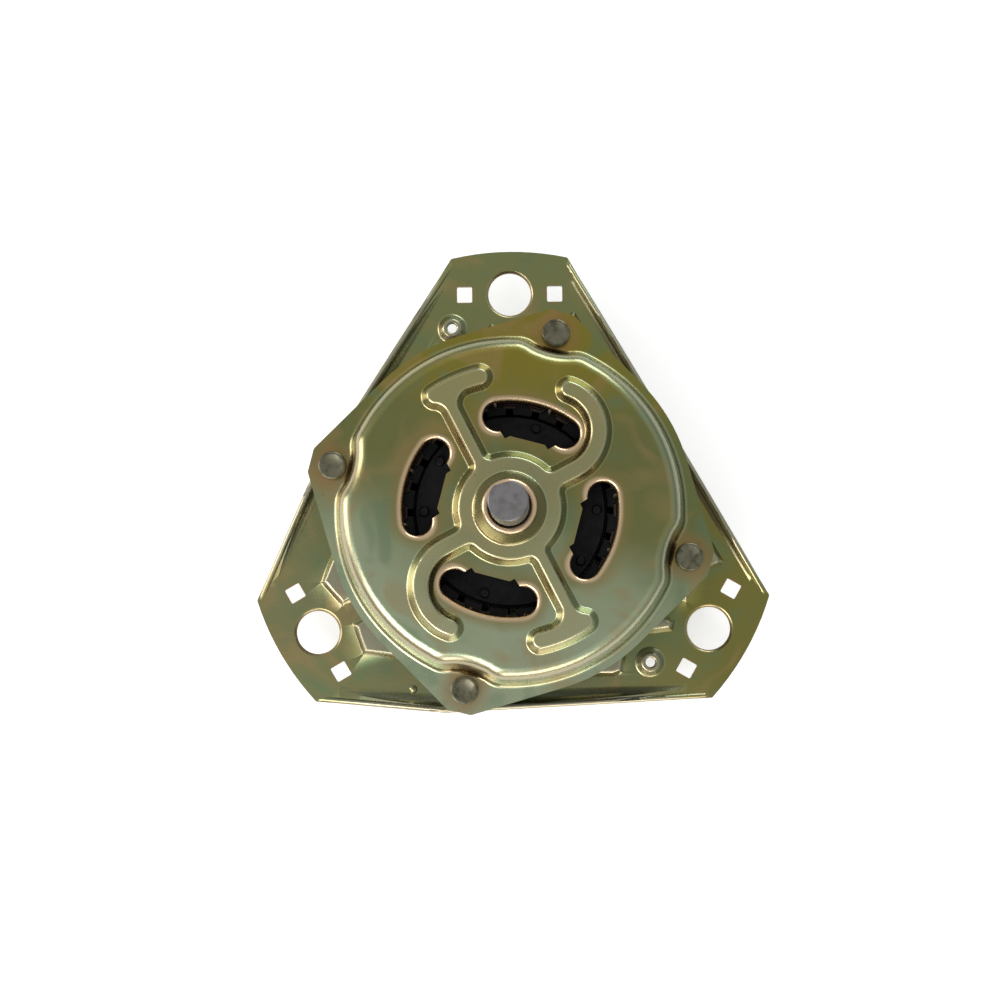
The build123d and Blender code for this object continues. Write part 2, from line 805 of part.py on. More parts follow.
def retainer(centre, foot, rim_radius):
    """Sprung retainer over a bush and its felt. foot is its distance from the bush's centre to its rim."""
    skirt_outer = retainer_skirt_radius + retainer_sheet
    cap = -retainer_cap_distance
    hole = math.sqrt(bush_ball_radius**2 - retainer_cap_distance**2) + retainer_gap
    body = ring(skirt_outer, hole, cap - retainer_sheet, cap)
    body = body + ring(skirt_outer, retainer_skirt_radius, cap - retainer_sheet, foot)
    body = body + ring(rim_radius, retainer_skirt_radius, foot - retainer_sheet, foot)
    return placed(body, centre)


def oil_felt(centre, top):
    """Felt ring round the inner half of a bush."""
    low = -retainer_cap_distance + felt_gap
    body = disc(retainer_skirt_radius - felt_gap, low, top)
    body = body - Sphere(bush_ball_radius + felt_gap)
    return placed(body, centre)


def placed(body, centre):
    """Puts a bearing piece, drawn with the cover towards +Z, at the upper or the lower bush."""
    return Pos(0, 0, centre) * (body if centre > 0 else mirror(body, about=Plane.XY))


def upper_bush_level():
    """Level at which the bush's ball just seats in the collar's taper."""
    foot = collar_foot_radius - cover_sheet
    slope = (collar_foot_radius - collar_top_radius) / collar_height
    reach = (bush_ball_radius + bush_seat_gap) * math.sqrt(1 + slope**2)
    return upper_hub_ceiling - (reach - foot) / slope


def lower_bearing_cup():
    """Pressed cup in the rear hub, which seats the lower bush."""
    outer = retainer_skirt_radius - cup_wall_gap
    body = disc(outer, lower_hub_floor, lower_bush_centre)
    body = body - Pos(0, 0, lower_bush_centre) * Sphere(bush_ball_radius + bush_seat_gap)
    hole = math.sqrt(bush_ball_radius**2 - (bush_length / 2) ** 2)
    return body - disc(hole, lower_hub_floor - overrun, lower_bush_centre)


def through_screws():
    """Four long screws with dished heads, which clamp both covers on the stack."""
    low = -washer_thickness - nut_height - screw_end_margin
    shank = chamfer(disc(screw_radius, low, flange_top).edges().group_by(Axis.Z)[0], screw_point_chamfer)
    head = disc(screw_head_radius, flange_top, flange_top + screw_head_height)
    head = fillet(head.edges().group_by(Axis.Z)[-1], screw_head_round)
    dish_radius = screw_head_radius - screw_head_rim
    ball_radius = (dish_radius**2 + screw_head_dish**2) / (2 * screw_head_dish)
    dish = Pos(0, 0, flange_top + screw_head_height - screw_head_dish + ball_radius) * Sphere(ball_radius)
    return turned(Pos(screw_circle_radius, 0, 0) * (shank + head - dish), screw_angles)


def lock_washers():
    """Split washers under the nuts."""
    washer = ring(washer_radius, screw_radius + screw_hole_clearance, -washer_thickness, 0)
    split = Pos(washer_radius, 0, 0) * Box(2 * washer_radius, washer_gap_width, 4 * washer_thickness)
    return turned(Pos(screw_circle_radius, 0, 0) * (washer - split), screw_angles)


def screw_nuts():
    """Nuts of the through screws."""
    top = -washer_thickness
    bar = extrude(RegularPolygon(nut_width / 2, 6, major_radius=False), nut_height)
    cone_radius = nut_width / math.sqrt(3)
    blank = chamfer(disc(cone_radius, 0, nut_height).edges().filter_by(GeomType.CIRCLE), nut_chamfer)
    nut = Pos(0, 0, top - nut_height) * (bar & blank)
    nut = nut - disc(screw_radius, top - nut_height - overrun, top + overrun)
    return turned(Pos(screw_circle_radius, 0, 0) * nut, screw_angles)


def rotor_shaft(low, groove_low):
    """Shaft: a journal with a snap ring's groove, and past a relief groove the output end with its flat."""
    shaft = disc(output_radius, low, shaft_tip_height)
    shaft = chamfer(shaft.edges().group_by(Axis.Z)[-1], shaft_chamfer)
    output_low = collar_top + output_start
    journal = disc(shaft_radius, low, output_low)
    shaft = shaft + chamfer(journal.edges().group_by(Axis.Z)[0], shaft_chamfer)
    corner = (Align.MIN, Align.CENTER, Align.MIN)
    flat = Box(shaft_radius, 4 * shaft_radius, flat_length + overrun, align=corner)
    shaft = shaft - Rot(0, 0, flat_angle) * Pos(flat_distance, 0, shaft_tip_height - flat_length) * flat
    groove = ring(
        shaft_radius + overrun, shaft_radius - snap_groove_depth, groove_low, groove_low + snap_ring_thickness
    )
    relief_radius = shaft_radius - relief_depth
    relief = ring(shaft_radius + overrun, relief_radius, output_low - relief_width, output_low)
    return shaft - groove - relief


def rotor_core():
    """Rotor laminations, with a round slot for each cast bar."""
    core = ring(rotor_radius, shaft_radius, seat_level, stack_top)
    slot = Pos(bar_circle_radius, 0, 0) * disc(bar_radius, seat_level - overrun, stack_top + overrun)
    return core - turned(slot, even(bar_count))


def rotor_cage():
    """Cast cage: bars, two end rings and the pips left on them."""
    outer = rotor_radius - end_ring_step
    top = ring(outer, end_ring_inner_radius, stack_top, stack_top + end_ring_height)
    top = fillet(top.edges().group_by(Axis.Z)[-1], end_ring_round)
    pip = disc(rotor_pip_radius, stack_top + end_ring_height, stack_top + end_ring_height + rotor_pip_height)
    pip = fillet(pip.edges().group_by(Axis.Z)[-1], rotor_pip_round)
    top = join([top, *turned(Pos(bar_circle_radius, 0, 0) * pip, even(rotor_pip_count))])
    bottom = Pos(0, 0, stack_top + seat_level) * mirror(top, about=Plane.XY)
    bar = Pos(bar_circle_radius, 0, 0) * disc(bar_radius, seat_level, stack_top)
    return join([top, bottom, *turned(bar, even(bar_count))])


def washers(count, low):
    """Stack of thrust washers from a level upwards."""
    bore = shaft_radius + washer_bore_gap
    pitch = thrust_washer_thickness
    return [
        ring(thrust_washer_radius, bore, low + i * pitch, low + (i + 1) * pitch - washer_spacing)
        for i in range(count)
    ]


def snap_ring(low):
    """Open ring in the shaft's groove."""
    body = ring(snap_ring_radius, shaft_radius - snap_groove_depth, low, low + snap_ring_thickness)
    gap = Pos(snap_ring_radius, 0, low) * Box(2 * snap_ring_radius, snap_gap_width, 4 * snap_ring_thickness)
    return body - gap


def lead_grommet():
    """Rubber grommet for the leads, in the rear cover's face."""
    inner = lower_face_level + plate_sheet
    body = disc(grommet_neck_radius - grommet_gap, lower_face_level, inner)
    body = body + disc(grommet_flange_radius, lower_face_level - grommet_flange, lower_face_level)
    body = body + disc(grommet_flange_radius, inner, inner + grommet_flange)
    body = fillet(body.edges().group_by(Axis.Z)[0], grommet_flange / 2)
    body = body - disc(grommet_bore_radius, lower_face_level - 2 * grommet_flange, inner + 2 * grommet_flange)
    return Pos(*polar(grommet_circle_radius, grommet_angle), 0) * body


def winding_reach():
    """How far the tied end turns stand out from the stack."""
    return liner_cuff + coil_clear + run_ring_height + lace_gap + 2 * lace_radius


def splice_sleeves():
    """Sleeves over the joints between winding and leads, tied under the lower end turns."""
    level = seat_level - winding_reach() - rest_gap - splice_radius
    tube = Cylinder(splice_radius, splice_length) - Cylinder(splice_bore_radius, splice_length + overrun)
    middle = (run_ring_inner_radius + run_ring_outer_radius) / 2
    first = middle - splice_pitch * (splice_count - 1) / 2
    tubes = [Pos(first + i * splice_pitch, 0, level) * Rot(90, 0, 0) * tube for i in range(splice_count)]
    return [Rot(0, 0, protector_angle) * sleeve for sleeve in tubes]


def thermal_protector():
    """Small cased cut-out lying on the upper end turns."""
    level = stack_top + winding_reach() + rest_gap
    middle = (run_ring_inner_radius + run_ring_outer_radius) / 2
    case = Box(protector_width, protector_length, protector_height, align=CENTRE_UP)
    case = fillet(case.edges().filter_by(Axis.Y), protector_round)
    return Rot(0, 0, protector_angle) * Pos(middle, 0, level) * case


def main():
    """Builds every node and writes it."""
    os.makedirs("parts", exist_ok=True)
    upper_bush_centre = upper_bush_level()
    front_hub_rim = hub_radius - rib_inset(cover_sheet, rib_height - cover_sheet) - retainer_rim_gap
    rear_hub_rim = hub_radius - rib_inset(plate_sheet, rib_height - plate_sheet) - retainer_rim_gap

    save("front_cover", front_cover())
    save("mounting_plate", mounting_plate())

    save("stator_core", stator_core())
    save("slot_liners", *slot_liners())
    save("slot_wedges", *slot_wedges())
    run_inner = coil_split_radius + coil_gap / 2
    run_outer = slot_bottom_radius - liner_gap - liner_thickness - coil_gap
    run_ring = (run_ring_inner_radius, run_ring_outer_radius, run_ring_height)
    save("run_winding", winding(run_inner, run_outer, *run_ring))
    start_inner = slot_top_radius + wedge_thickness + coil_gap
    start_outer = start_ring_outer_radius - coil_gap
    start_ring = (start_ring_inner_radius, start_ring_outer_radius, start_ring_height)
    save("start_winding", winding(start_inner, start_outer, *start_ring))
    save("winding_lacing", *lace_loops())
    save("splice_sleeves", *splice_sleeves())
    save("thermal_protector", thermal_protector())
    save("lead_grommet", lead_grommet())

    save("through_screws", *through_screws())
    save("lock_washers", *lock_washers())
    save("screw_nuts", *screw_nuts())

    save("upper_bush", bush(upper_bush_centre))
    upper_foot = upper_hub_ceiling - upper_bush_centre
    save("upper_oil_felt", oil_felt(upper_bush_centre, upper_foot - felt_gap))
    save("upper_bush_retainer", retainer(upper_bush_centre, upper_foot, front_hub_rim))
    save("lower_bearing_cup", lower_bearing_cup())
    save("lower_bush", bush(lower_bush_centre))
    lower_foot = lower_bush_centre - lower_hub_floor
    save("lower_oil_felt", oil_felt(lower_bush_centre, -felt_gap))
    save("lower_bush_retainer", retainer(lower_bush_centre, lower_foot, rear_hub_rim))
    save("thrust_pad", disc(thrust_pad_radius, lower_hub_floor, lower_hub_floor + thrust_pad_height))

    washers_top = upper_bush_centre - bush_length / 2 - end_play
    washers_low = washers_top - upper_thrust_washers * thrust_washer_thickness
    slinger_low = washers_low - slinger_thickness
    snap_low = slinger_low - snap_ring_thickness
    shaft_low = lower_hub_floor + thrust_pad_height + end_play
    save("rotor_shaft", rotor_shaft(shaft_low, snap_low))
    save("rotor_core", rotor_core())
    save("rotor_cage", rotor_cage())
    save("upper_spacer", ring(spacer_radius, shaft_radius, stack_top, snap_low))
    save("shaft_snap_ring", snap_ring(snap_low))
    save("oil_slinger", ring(slinger_radius, shaft_radius + washer_bore_gap, slinger_low, washers_low))
    save("upper_thrust_washers", *washers(upper_thrust_washers, washers_low))
    lower_washers_low = lower_bush_centre + bush_length / 2 + end_play
    spacer_low = lower_washers_low + lower_thrust_washers * thrust_washer_thickness
    save("lower_thrust_washers", *washers(lower_thrust_washers, lower_washers_low))
    save("lower_spacer", ring(spacer_radius, shaft_radius, spacer_low, seat_level))


if __name__ == "__main__":
    main()
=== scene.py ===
"""Washing machine motor: camera, light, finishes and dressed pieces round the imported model.

Metres, in the model's own frame: +Z runs along the shaft to its driving end, and the motor stands on z = 0.
"""

import math
from collections import namedtuple

import bpy
from mathutils import Matrix, Vector


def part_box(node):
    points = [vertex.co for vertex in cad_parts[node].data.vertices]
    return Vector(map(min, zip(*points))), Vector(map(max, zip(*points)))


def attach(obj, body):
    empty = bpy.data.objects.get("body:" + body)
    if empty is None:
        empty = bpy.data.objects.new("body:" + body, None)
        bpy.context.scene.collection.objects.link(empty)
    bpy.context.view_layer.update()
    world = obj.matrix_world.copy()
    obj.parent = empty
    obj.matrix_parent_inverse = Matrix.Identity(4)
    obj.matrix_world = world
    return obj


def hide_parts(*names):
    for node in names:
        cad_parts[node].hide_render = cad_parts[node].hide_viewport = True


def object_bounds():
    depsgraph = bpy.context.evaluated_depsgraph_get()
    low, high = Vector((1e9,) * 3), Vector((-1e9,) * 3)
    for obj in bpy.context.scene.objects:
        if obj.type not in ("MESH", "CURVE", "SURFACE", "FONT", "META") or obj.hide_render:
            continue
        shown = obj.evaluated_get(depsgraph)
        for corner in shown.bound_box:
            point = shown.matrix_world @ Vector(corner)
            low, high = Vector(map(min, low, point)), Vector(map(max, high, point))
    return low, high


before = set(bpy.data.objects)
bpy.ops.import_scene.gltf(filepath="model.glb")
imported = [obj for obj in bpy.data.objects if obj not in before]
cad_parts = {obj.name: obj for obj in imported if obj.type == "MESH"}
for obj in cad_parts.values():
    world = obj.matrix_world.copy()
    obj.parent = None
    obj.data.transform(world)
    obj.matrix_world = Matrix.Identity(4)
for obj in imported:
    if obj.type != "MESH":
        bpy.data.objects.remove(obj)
cad_low, cad_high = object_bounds()

MM = 0.001

# Camera: it looks almost straight down the shaft, from a little below the part's middle in the picture
camera_place = Vector((7.7, -35.3, 770.0)) * MM
camera_aim = Vector((-0.0155, 0.055, -1.0))
camera_roll = math.radians(-0.6)
camera_lens = 81.1
camera_sensor = 36.0
camera_near = 0.01
camera_far = 20

# The tent's grey, from level with the horizon (0) to straight overhead (1)
tent_level = 0.24
tent_between = ((0.40, 0.48), (0.75, 0.64), (0.90, 0.62), (0.97, 0.48))
tent_overhead = 0.44

# Lamps: name, place, width and length, power and colour. They look at a point on the shaft.
lamps = (
    ("lamp_key", (-0.42, -0.46, 0.75), (0.50, 0.50), 3.8, (1.0, 0.99, 0.97)),
    ("lamp_side", (-0.85, 0.10, 0.45), (0.40, 0.60), 2.6, (1.0, 0.97, 0.93)),
    ("lamp_low", (0.15, -0.90, 0.45), (0.60, 0.40), 2.2, (1.0, 0.97, 0.93)),
    ("lamp_far", (0.30, 0.88, 0.50), (0.60, 0.40), 3.4, (0.96, 0.98, 1.0)),
)
lamp_aim = Vector((0, 0, 0.03))

# Floor: its glow comes in between two distances from the shaft
floor_size = 12
floor_grey = 0.80
floor_roughness = 0.9
floor_glow = 0.52
glow_from = 48 * MM
glow_full = 58 * MM

# Meshes: how near corners are merged, and up to which angle a fold is shaded as one soft face
merge_gap = 0.002 * MM
soft_angle = math.radians(32)
large_face_weight = 100

# Places that the finishes follow, from the model's own sizes
mount_count = 3
mount_first = 90
mount_circle = 75 * MM
mount_hole = 7.15 * MM
mount_halo = 1.2 * MM
square_offset = 15.1 * MM
square_half = 2.7 * MM
screw_count = 4
screw_first = 75
screw_circle = 57.8 * MM
screw_head = 4.4 * MM
screw_halo = 5.5 * MM
plate_face = 20.5 * MM
dome_face = 80.5 * MM
rubbed_depth = 2 * MM
collar_low = 84.0 * MM
collar_fade = 1 * MM
collar_top = 94.0 * MM
collar_rim_foot = collar_top - 0.8 * MM
collar_rim_full = collar_top - 0.2 * MM
vent_circle = 28.7 * MM
vent_half_angle = 22
vent_half = 4.4 * MM
vent_rim = 1.0 * MM

# End turns: the rings that the two windings make, and the wires round them
run_ring_inner = 38.7 * MM
run_ring_outer = 47.0 * MM
run_ring_height = 9.0 * MM
run_wire = 0.85 * MM
start_ring_inner = 33.4 * MM
start_ring_outer = 38.4 * MM
start_ring_height = 7.5 * MM
start_wire = 0.65 * MM
ring_corner = 2.2 * MM
wire_swell = 1.04
wire_sink = 0.12 * MM
wire_sinks = 3
wire_segments = 96
wire_sides = 6
slack_wave = 9 * MM
slack_height = 0.5 * MM

# The Mix node's colour sockets, which share their names with its sockets for numbers and vectors
MIX_FIRST, MIX_SECOND, MIX_RESULT = 6, 7, 2

# A soft change of tone: its direction over the part, where it begins and ends along it as shares of the
# mounting holes' circle, its strength and its colour
Tone = namedtuple("Tone", "across up begins ends strength colour")

# An even pattern of holes or heads with a reddish halo: how many there are, the first one's angle, their
# circle, how far they lie to either side of it, their half width and the halo's width
Spots = namedtuple("Spots", "copies first circle across edge halo")

# An even pattern of curved vents: how many there are, the first one's angle, the circle along their middle,
# the half angle of that middle line, their half width and their rim's width
Vents = namedtuple("Vents", "copies first circle half_angle edge rim")


def deselect():
    """Leaves nothing selected."""
    bpy.ops.object.select_all(action="DESELECT")


def pick(piece):
    """Makes a piece the only one selected."""
    deselect()
    piece.select_set(True)
    bpy.context.view_layer.objects.active = piece


def join(pieces, name):
    """Joins several pieces in one, under a name."""
    deselect()
    for piece in pieces:
        piece.select_set(True)
    bpy.context.view_layer.objects.active = pieces[0]
    bpy.ops.object.join()
    pieces[0].name = name
    return pieces[0]


def settle(piece):
    """Puts a piece's place in its mesh, with the object itself at the origin."""
    pick(piece)
    bpy.ops.object.transform_apply(location=True, rotation=True, scale=True)
    return piece


def merged_copy(node, name):
    """A copy of a node's mesh with its loose triangles merged, and shaded by its larger faces."""
    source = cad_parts[node]
    piece = source.copy()
    piece.data = source.data.copy()
    piece.name = name
    for key in list(piece.keys()):
        del piece[key]
    piece.parent = None
    bpy.context.collection.objects.link(piece)
    pick(piece)
    bpy.ops.mesh.customdata_custom_splitnormals_clear()
    bpy.ops.object.mode_set(mode="EDIT")
    bpy.ops.mesh.select_all(action="SELECT")
    bpy.ops.mesh.remove_doubles(threshold=merge_gap)
    bpy.ops.object.mode_set(mode="OBJECT")
    bpy.ops.object.shade_smooth_by_angle(angle=soft_angle)
    bpy.ops.object.modifier_add(type="WEIGHTED_NORMAL")
    weighted = piece.modifiers[-1]
    weighted.keep_sharp = True
    weighted.weight = large_face_weight
    bpy.ops.object.modifier_apply(modifier=weighted.name)
    return piece


def dress(piece, finish, body, slot, *nodes):
    """Gives a piece its finish and its body, and hides the nodes that it stands for. The slot is not used."""
    piece.data.materials.clear()
    piece.data.materials.append(finish)
    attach(piece, body)
    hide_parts(*nodes)


def coat(node, finish):
    """Puts a finish on a node that stays as it is."""
    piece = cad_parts[node]
    piece.data.materials.clear()
    piece.data.materials.append(finish)
    pick(piece)
    bpy.ops.object.shade_smooth_by_angle(angle=soft_angle)


class Finish:
    """One material, built up from small steps."""

    def __init__(self, name, colour, metallic, roughness):
        self.material = bpy.data.materials.new(name)
        self.material.use_nodes = True
        self.tree = self.material.node_tree
        self.shader = self.tree.nodes["Principled BSDF"]
        self.set(base_color=(*colour, 1), metallic=metallic, roughness=roughness)
        self.place = self.node("ShaderNodeTexCoord").outputs["Object"]

    def node(self, kind, **settings):
        """Adds a node and sets its options."""
        made = self.tree.nodes.new(kind)
        for name, value in settings.items():
            setattr(made, name, value)
        return made

    def put(self, socket, value):
        """Links an output to a socket, or sets the socket's value."""
        if isinstance(value, bpy.types.NodeSocket):
            self.tree.links.new(value, socket)
        else:
            socket.default_value = value

    def set(self, **sockets):
        """Links or sets the shader's sockets: a space in a socket's name is written as a low line."""
        for name, value in sockets.items():
            self.put(self.shader.inputs[name.replace("_", " ").title()], value)
        return self.material

    def calc(self, operation, first, second=0.0, third=0.0):
        """One math step."""
        step = self.node("ShaderNodeMath", operation=operation)
        for socket, value in zip(step.inputs, (first, second, third)):
            self.put(socket, value)
        return step.outputs[0]

    def times_plus(self, value, factor, start):
        """A value times a factor, plus a start."""
        return self.calc("MULTIPLY_ADD", value, factor, start)

    def length(self, first, second):
        """Length of a flat vector from its two sides."""
        squares = self.calc("ADD", self.calc("MULTIPLY", first, first), self.calc("MULTIPLY", second, second))
        return self.calc("SQRT", squares)

    def spread(self, value, low, high, strength=1.0, kind="SMOOTHSTEP"):
        """Goes from 0 to a strength as a value goes from low to high, and stays there beyond them."""
        step = self.node("ShaderNodeMapRange", interpolation_type=kind)
        for name, number in (("Value", value), ("From Min", low), ("From Max", high), ("To Max", strength)):
            self.put(step.inputs[name], number)
        return step.outputs["Result"]

    def scaled(self, stretch, turn=(0, 0, 0)):
        """The place, stretched by a factor along each axis."""
        step = self.node("ShaderNodeMapping", vector_type="POINT")
        self.put(step.inputs["Vector"], self.place)
        step.inputs["Rotation"].default_value = turn
        step.inputs["Scale"].default_value = stretch
        return step.outputs["Vector"]

    def noise(self, scale, detail, rough=0.55, bend=0.0, place=None):
        """Cloudy noise from 0 to 1."""
        step = self.node("ShaderNodeTexNoise")
        self.put(step.inputs["Vector"], place or self.place)
        step.inputs["Scale"].default_value = scale
        step.inputs["Detail"].default_value = detail
        step.inputs["Roughness"].default_value = rough
        step.inputs["Distortion"].default_value = bend
        return step.outputs["Fac"]

    def ramp(self, value, low, high):
        """Colour along a value, between two stops that are a position and a colour each."""
        step = self.node("ShaderNodeValToRGB")
        self.put(step.inputs["Fac"], value)
        for element, (position, colour) in zip(step.color_ramp.elements, (low, high)):
            element.position = position
            element.color = (*colour, 1)
        return step.outputs["Color"]

    def mix(self, amount, first, second):
        """Mixes two colours."""
        step = self.node("ShaderNodeMix", data_type="RGBA")
        self.put(step.inputs["Factor"], amount)
        for socket, value in ((step.inputs[MIX_FIRST], first), (step.inputs[MIX_SECOND], second)):
            self.put(socket, (*value, 1) if isinstance(value, tuple) else value)
        return step.outputs[MIX_RESULT]

    def tint(self, tone, colour, value, low, high, strength):
        """A tone with a colour mixed in, by up to a strength, as a value goes from low to high."""
        return self.mix(self.spread(value, low, high, strength), tone, colour)

    def split(self, vector):
        """The three numbers of a vector."""
        step = self.node("ShaderNodeSeparateXYZ")
        self.put(step.inputs[0], vector)
        return step.outputs

    def facing(self):
        """The three numbers of the direction that the surface faces."""
        return self.split(self.node("ShaderNodeNewGeometry").outputs["Normal"])

    def folded(self, count, first):
        """Radius and angle of the place, with the angle folded onto the nearest of an even pattern."""
        x, y, _ = self.split(self.place)
        angle = self.calc("SUBTRACT", self.calc("ARCTAN2", y, x), math.radians(first))
        step = 2 * math.pi / count
        near = self.calc("MULTIPLY", self.calc("ROUND", self.calc("DIVIDE", angle, step)), step)
        return self.length(x, y), self.calc("SUBTRACT", angle, near)

    def far_from_spots(self, spots):
        """Distance across the plate from the nearest spot's middle."""
        radius, angle = self.folded(spots.copies, spots.first)
        along = self.calc("SUBTRACT", self.calc("MULTIPLY", radius, self.calc("COSINE", angle)), spots.circle)
        side = self.calc("MULTIPLY", radius, self.calc("SINE", angle))
        if spots.across:
            side = self.calc("SUBTRACT", self.calc("ABSOLUTE", side), spots.across)
        return self.length(along, side)

    def far_from_vents(self, vents):
        """Distance across the plate from the nearest vent's middle line."""
        radius, angle = self.folded(vents.copies, vents.first)
        past = self.calc("SUBTRACT", self.calc("ABSOLUTE", angle), math.radians(vents.half_angle))
        side = self.calc("MULTIPLY", self.calc("MAXIMUM", past, 0.0), radius)
        along = self.calc("SUBTRACT", radius, vents.circle)
        return self.length(along, side)

    def bump(self, height, depth, strength):
        """Relief of a depth in metres, on top of what the shader has."""
        step = self.node("ShaderNodeBump")
        step.inputs["Strength"].default_value = strength
        step.inputs["Distance"].default_value = depth
        self.put(step.inputs["Height"], height)
        old = self.shader.inputs["Normal"].links
        if old:
            self.put(step.inputs["Normal"], old[0].from_socket)
        self.put(self.shader.inputs["Normal"], step.outputs["Normal"])


def zinc_finish(name, tones, spots, vents, raised_from, rubbed):
    """Yellow zinc on drawn sheet steel.

    Broad soft changes of tone lie under a thin many-coloured film. Steep faces are painted paler, partly as a
    thinner film where the sheet is drawn round a bend and partly as a painted highlight along the bends.
    Faces that lean to the picture's lower left get a painted highlight in a warmer tone, and faces that lean
    to the upper right get painted shade in a greener tone. What stands above a level is rubbed brighter. The
    collar gets painted shade, with a painted highlight on its rim; the vents have a painted highlight on
    their rims inside a gilt band, and holes and heads have a reddish halo. Specks and fine scratches lie on
    top.
    """
    teal = (0.16, 0.27, 0.15)
    rose = (0.46, 0.31, 0.13)
    painted_light_tint = (0.62, 0.50, 0.31)
    shaded = (0.24, 0.30, 0.20)
    painted_collar_shade = (0.11, 0.08, 0.02)
    amber = (0.42, 0.23, 0.09)
    bend_film_and_highlight = (0.62, 0.59, 0.36)
    gilt = (0.34, 0.26, 0.09)
    painted_rim_highlight = (0.80, 0.59, 0.38)
    olive = (0.22, 0.23, 0.08)
    speck = (0.05, 0.045, 0.03)
    drift = 0.9
    painted_light_side = (-0.75, -0.66)
    gilt_rims = 6
    highlight_rims = 2.2

    finish = Finish(name, olive, metallic=1.0, roughness=0.36)
    x, y, z = finish.split(finish.place)
    broad = finish.noise(scale=14.0, detail=2.0, rough=0.5, bend=0.6)
    patchy = finish.noise(scale=30.0, detail=3.0, rough=0.55, bend=0.8)
    sheen = finish.noise(scale=45.0, detail=2.0, rough=0.45, bend=1.4)

    tone = olive
    for part in tones:
        along = finish.calc("MULTIPLY", x, part.across / mount_circle)
        along = finish.times_plus(y, part.up / mount_circle, along)
        along = finish.times_plus(broad, drift, finish.calc("SUBTRACT", along, drift / 2))
        tone = finish.tint(tone, part.colour, along, part.begins, part.ends, part.strength)
    tone = finish.tint(tone, olive, patchy, low=0.50, high=0.75, strength=0.30)
    tone = finish.tint(tone, teal, sheen, low=0.52, high=0.70, strength=0.45)
    tone = finish.tint(tone, rose, sheen, low=0.48, high=0.32, strength=0.42)
    tone = finish.tint(tone, rubbed, z, raised_from, raised_from + rubbed_depth, strength=0.60)

    # Painted highlight along the bends, partly a thinner film there: steep faces are painted paler
    upright = finish.calc("SUBTRACT", 1.0, finish.calc("ABSOLUTE", finish.facing()[2]))
    tone = finish.tint(tone, bend_film_and_highlight, upright, low=0.02, high=0.25, strength=0.35)
    # Painted light and shade: faces that lean to the picture's lower left, toward the strongest lamp, are
    # painted in a lit, warmer tone, and faces that lean away get painted shade in a greener tone
    lean_x, lean_y, _ = finish.facing()
    lean = finish.calc("MULTIPLY", lean_y, painted_light_side[1])
    lean = finish.times_plus(lean_x, painted_light_side[0], lean)
    tone = finish.tint(tone, painted_light_tint, lean, low=0.08, high=0.45, strength=0.60)
    tone = finish.tint(tone, shaded, lean, low=-0.08, high=-0.40, strength=0.60)

    # Painted shade on the collar from its foot up, and a painted highlight on its rounded rim
    tone = finish.tint(tone, painted_collar_shade, z, collar_low, collar_low + collar_fade, strength=0.85)
    tone = finish.tint(tone, painted_rim_highlight, z, collar_rim_foot, collar_rim_full, strength=0.9)
    for pattern in spots:
        distance = finish.far_from_spots(pattern)
        tone = finish.tint(tone, amber, distance, pattern.edge + pattern.halo, pattern.edge, strength=0.50)
    distance = finish.far_from_vents(vents)
    rim = vents.edge + vents.rim
    # A gilt band of the film's own colour round the vents, and a painted highlight on their rounded rims
    tone = finish.tint(tone, gilt, distance, vents.edge + gilt_rims * vents.rim, rim, strength=0.70)
    tone = finish.tint(tone, painted_rim_highlight, distance, vents.edge + highlight_rims * vents.rim, rim, strength=0.85)
    dirt = finish.noise(scale=800.0, detail=2.0, rough=0.7)
    tone = finish.tint(tone, speck, dirt, low=0.70, high=0.78, strength=0.5)

    grain = finish.noise(scale=1.0, detail=5.0, rough=0.6, place=finish.scaled((260, 1400, 900)))
    other = finish.noise(scale=1.0, detail=5.0, rough=0.6, place=finish.scaled((1500, 300, 900), (0, 0, 0.6)))
    scratches = finish.calc(
        "ADD", finish.spread(grain, low=0.62, high=0.74), finish.spread(other, low=0.62, high=0.74)
    )
    roughness = finish.times_plus(patchy, factor=0.12, start=0.21)
    roughness = finish.times_plus(scratches, factor=0.05, start=roughness)
    finish.bump(finish.noise(scale=600.0, detail=3.0, rough=0.6), depth=0.01 * MM, strength=0.08)
    finish.bump(scratches, depth=0.01 * MM, strength=0.12)
    finish.bump(finish.noise(scale=30.0, detail=1.0), depth=0.8 * MM, strength=0.20)
    return finish.set(coat_weight=0.25, coat_roughness=0.22, base_color=tone, roughness=roughness)


def steel_finish(name, colour, dark, roughness, ring_pitch=None, mottled=0.3):
    """Bare or plated steel with mottling, and turned rings where the piece was turned."""
    swing = 0.25
    drop = 0.12
    finish = Finish(name, colour, metallic=1.0, roughness=roughness)
    patches = finish.noise(scale=320.0, detail=5.0, rough=0.7, bend=0.4)
    tone = finish.tint(colour, dark, patches, low=0.40, high=0.70, strength=mottled)
    finish.bump(finish.noise(scale=900.0, detail=3.0, rough=0.6), depth=0.02 * MM, strength=0.5)
    if ring_pitch:
        grain = finish.noise(scale=1.0, detail=3.0, rough=0.6, place=finish.scaled((60, 60, 1 / ring_pitch)))
        finish.bump(grain, depth=0.01 * MM, strength=0.5)
    return finish.set(base_color=tone, roughness=finish.times_plus(patches, swing, roughness - drop))


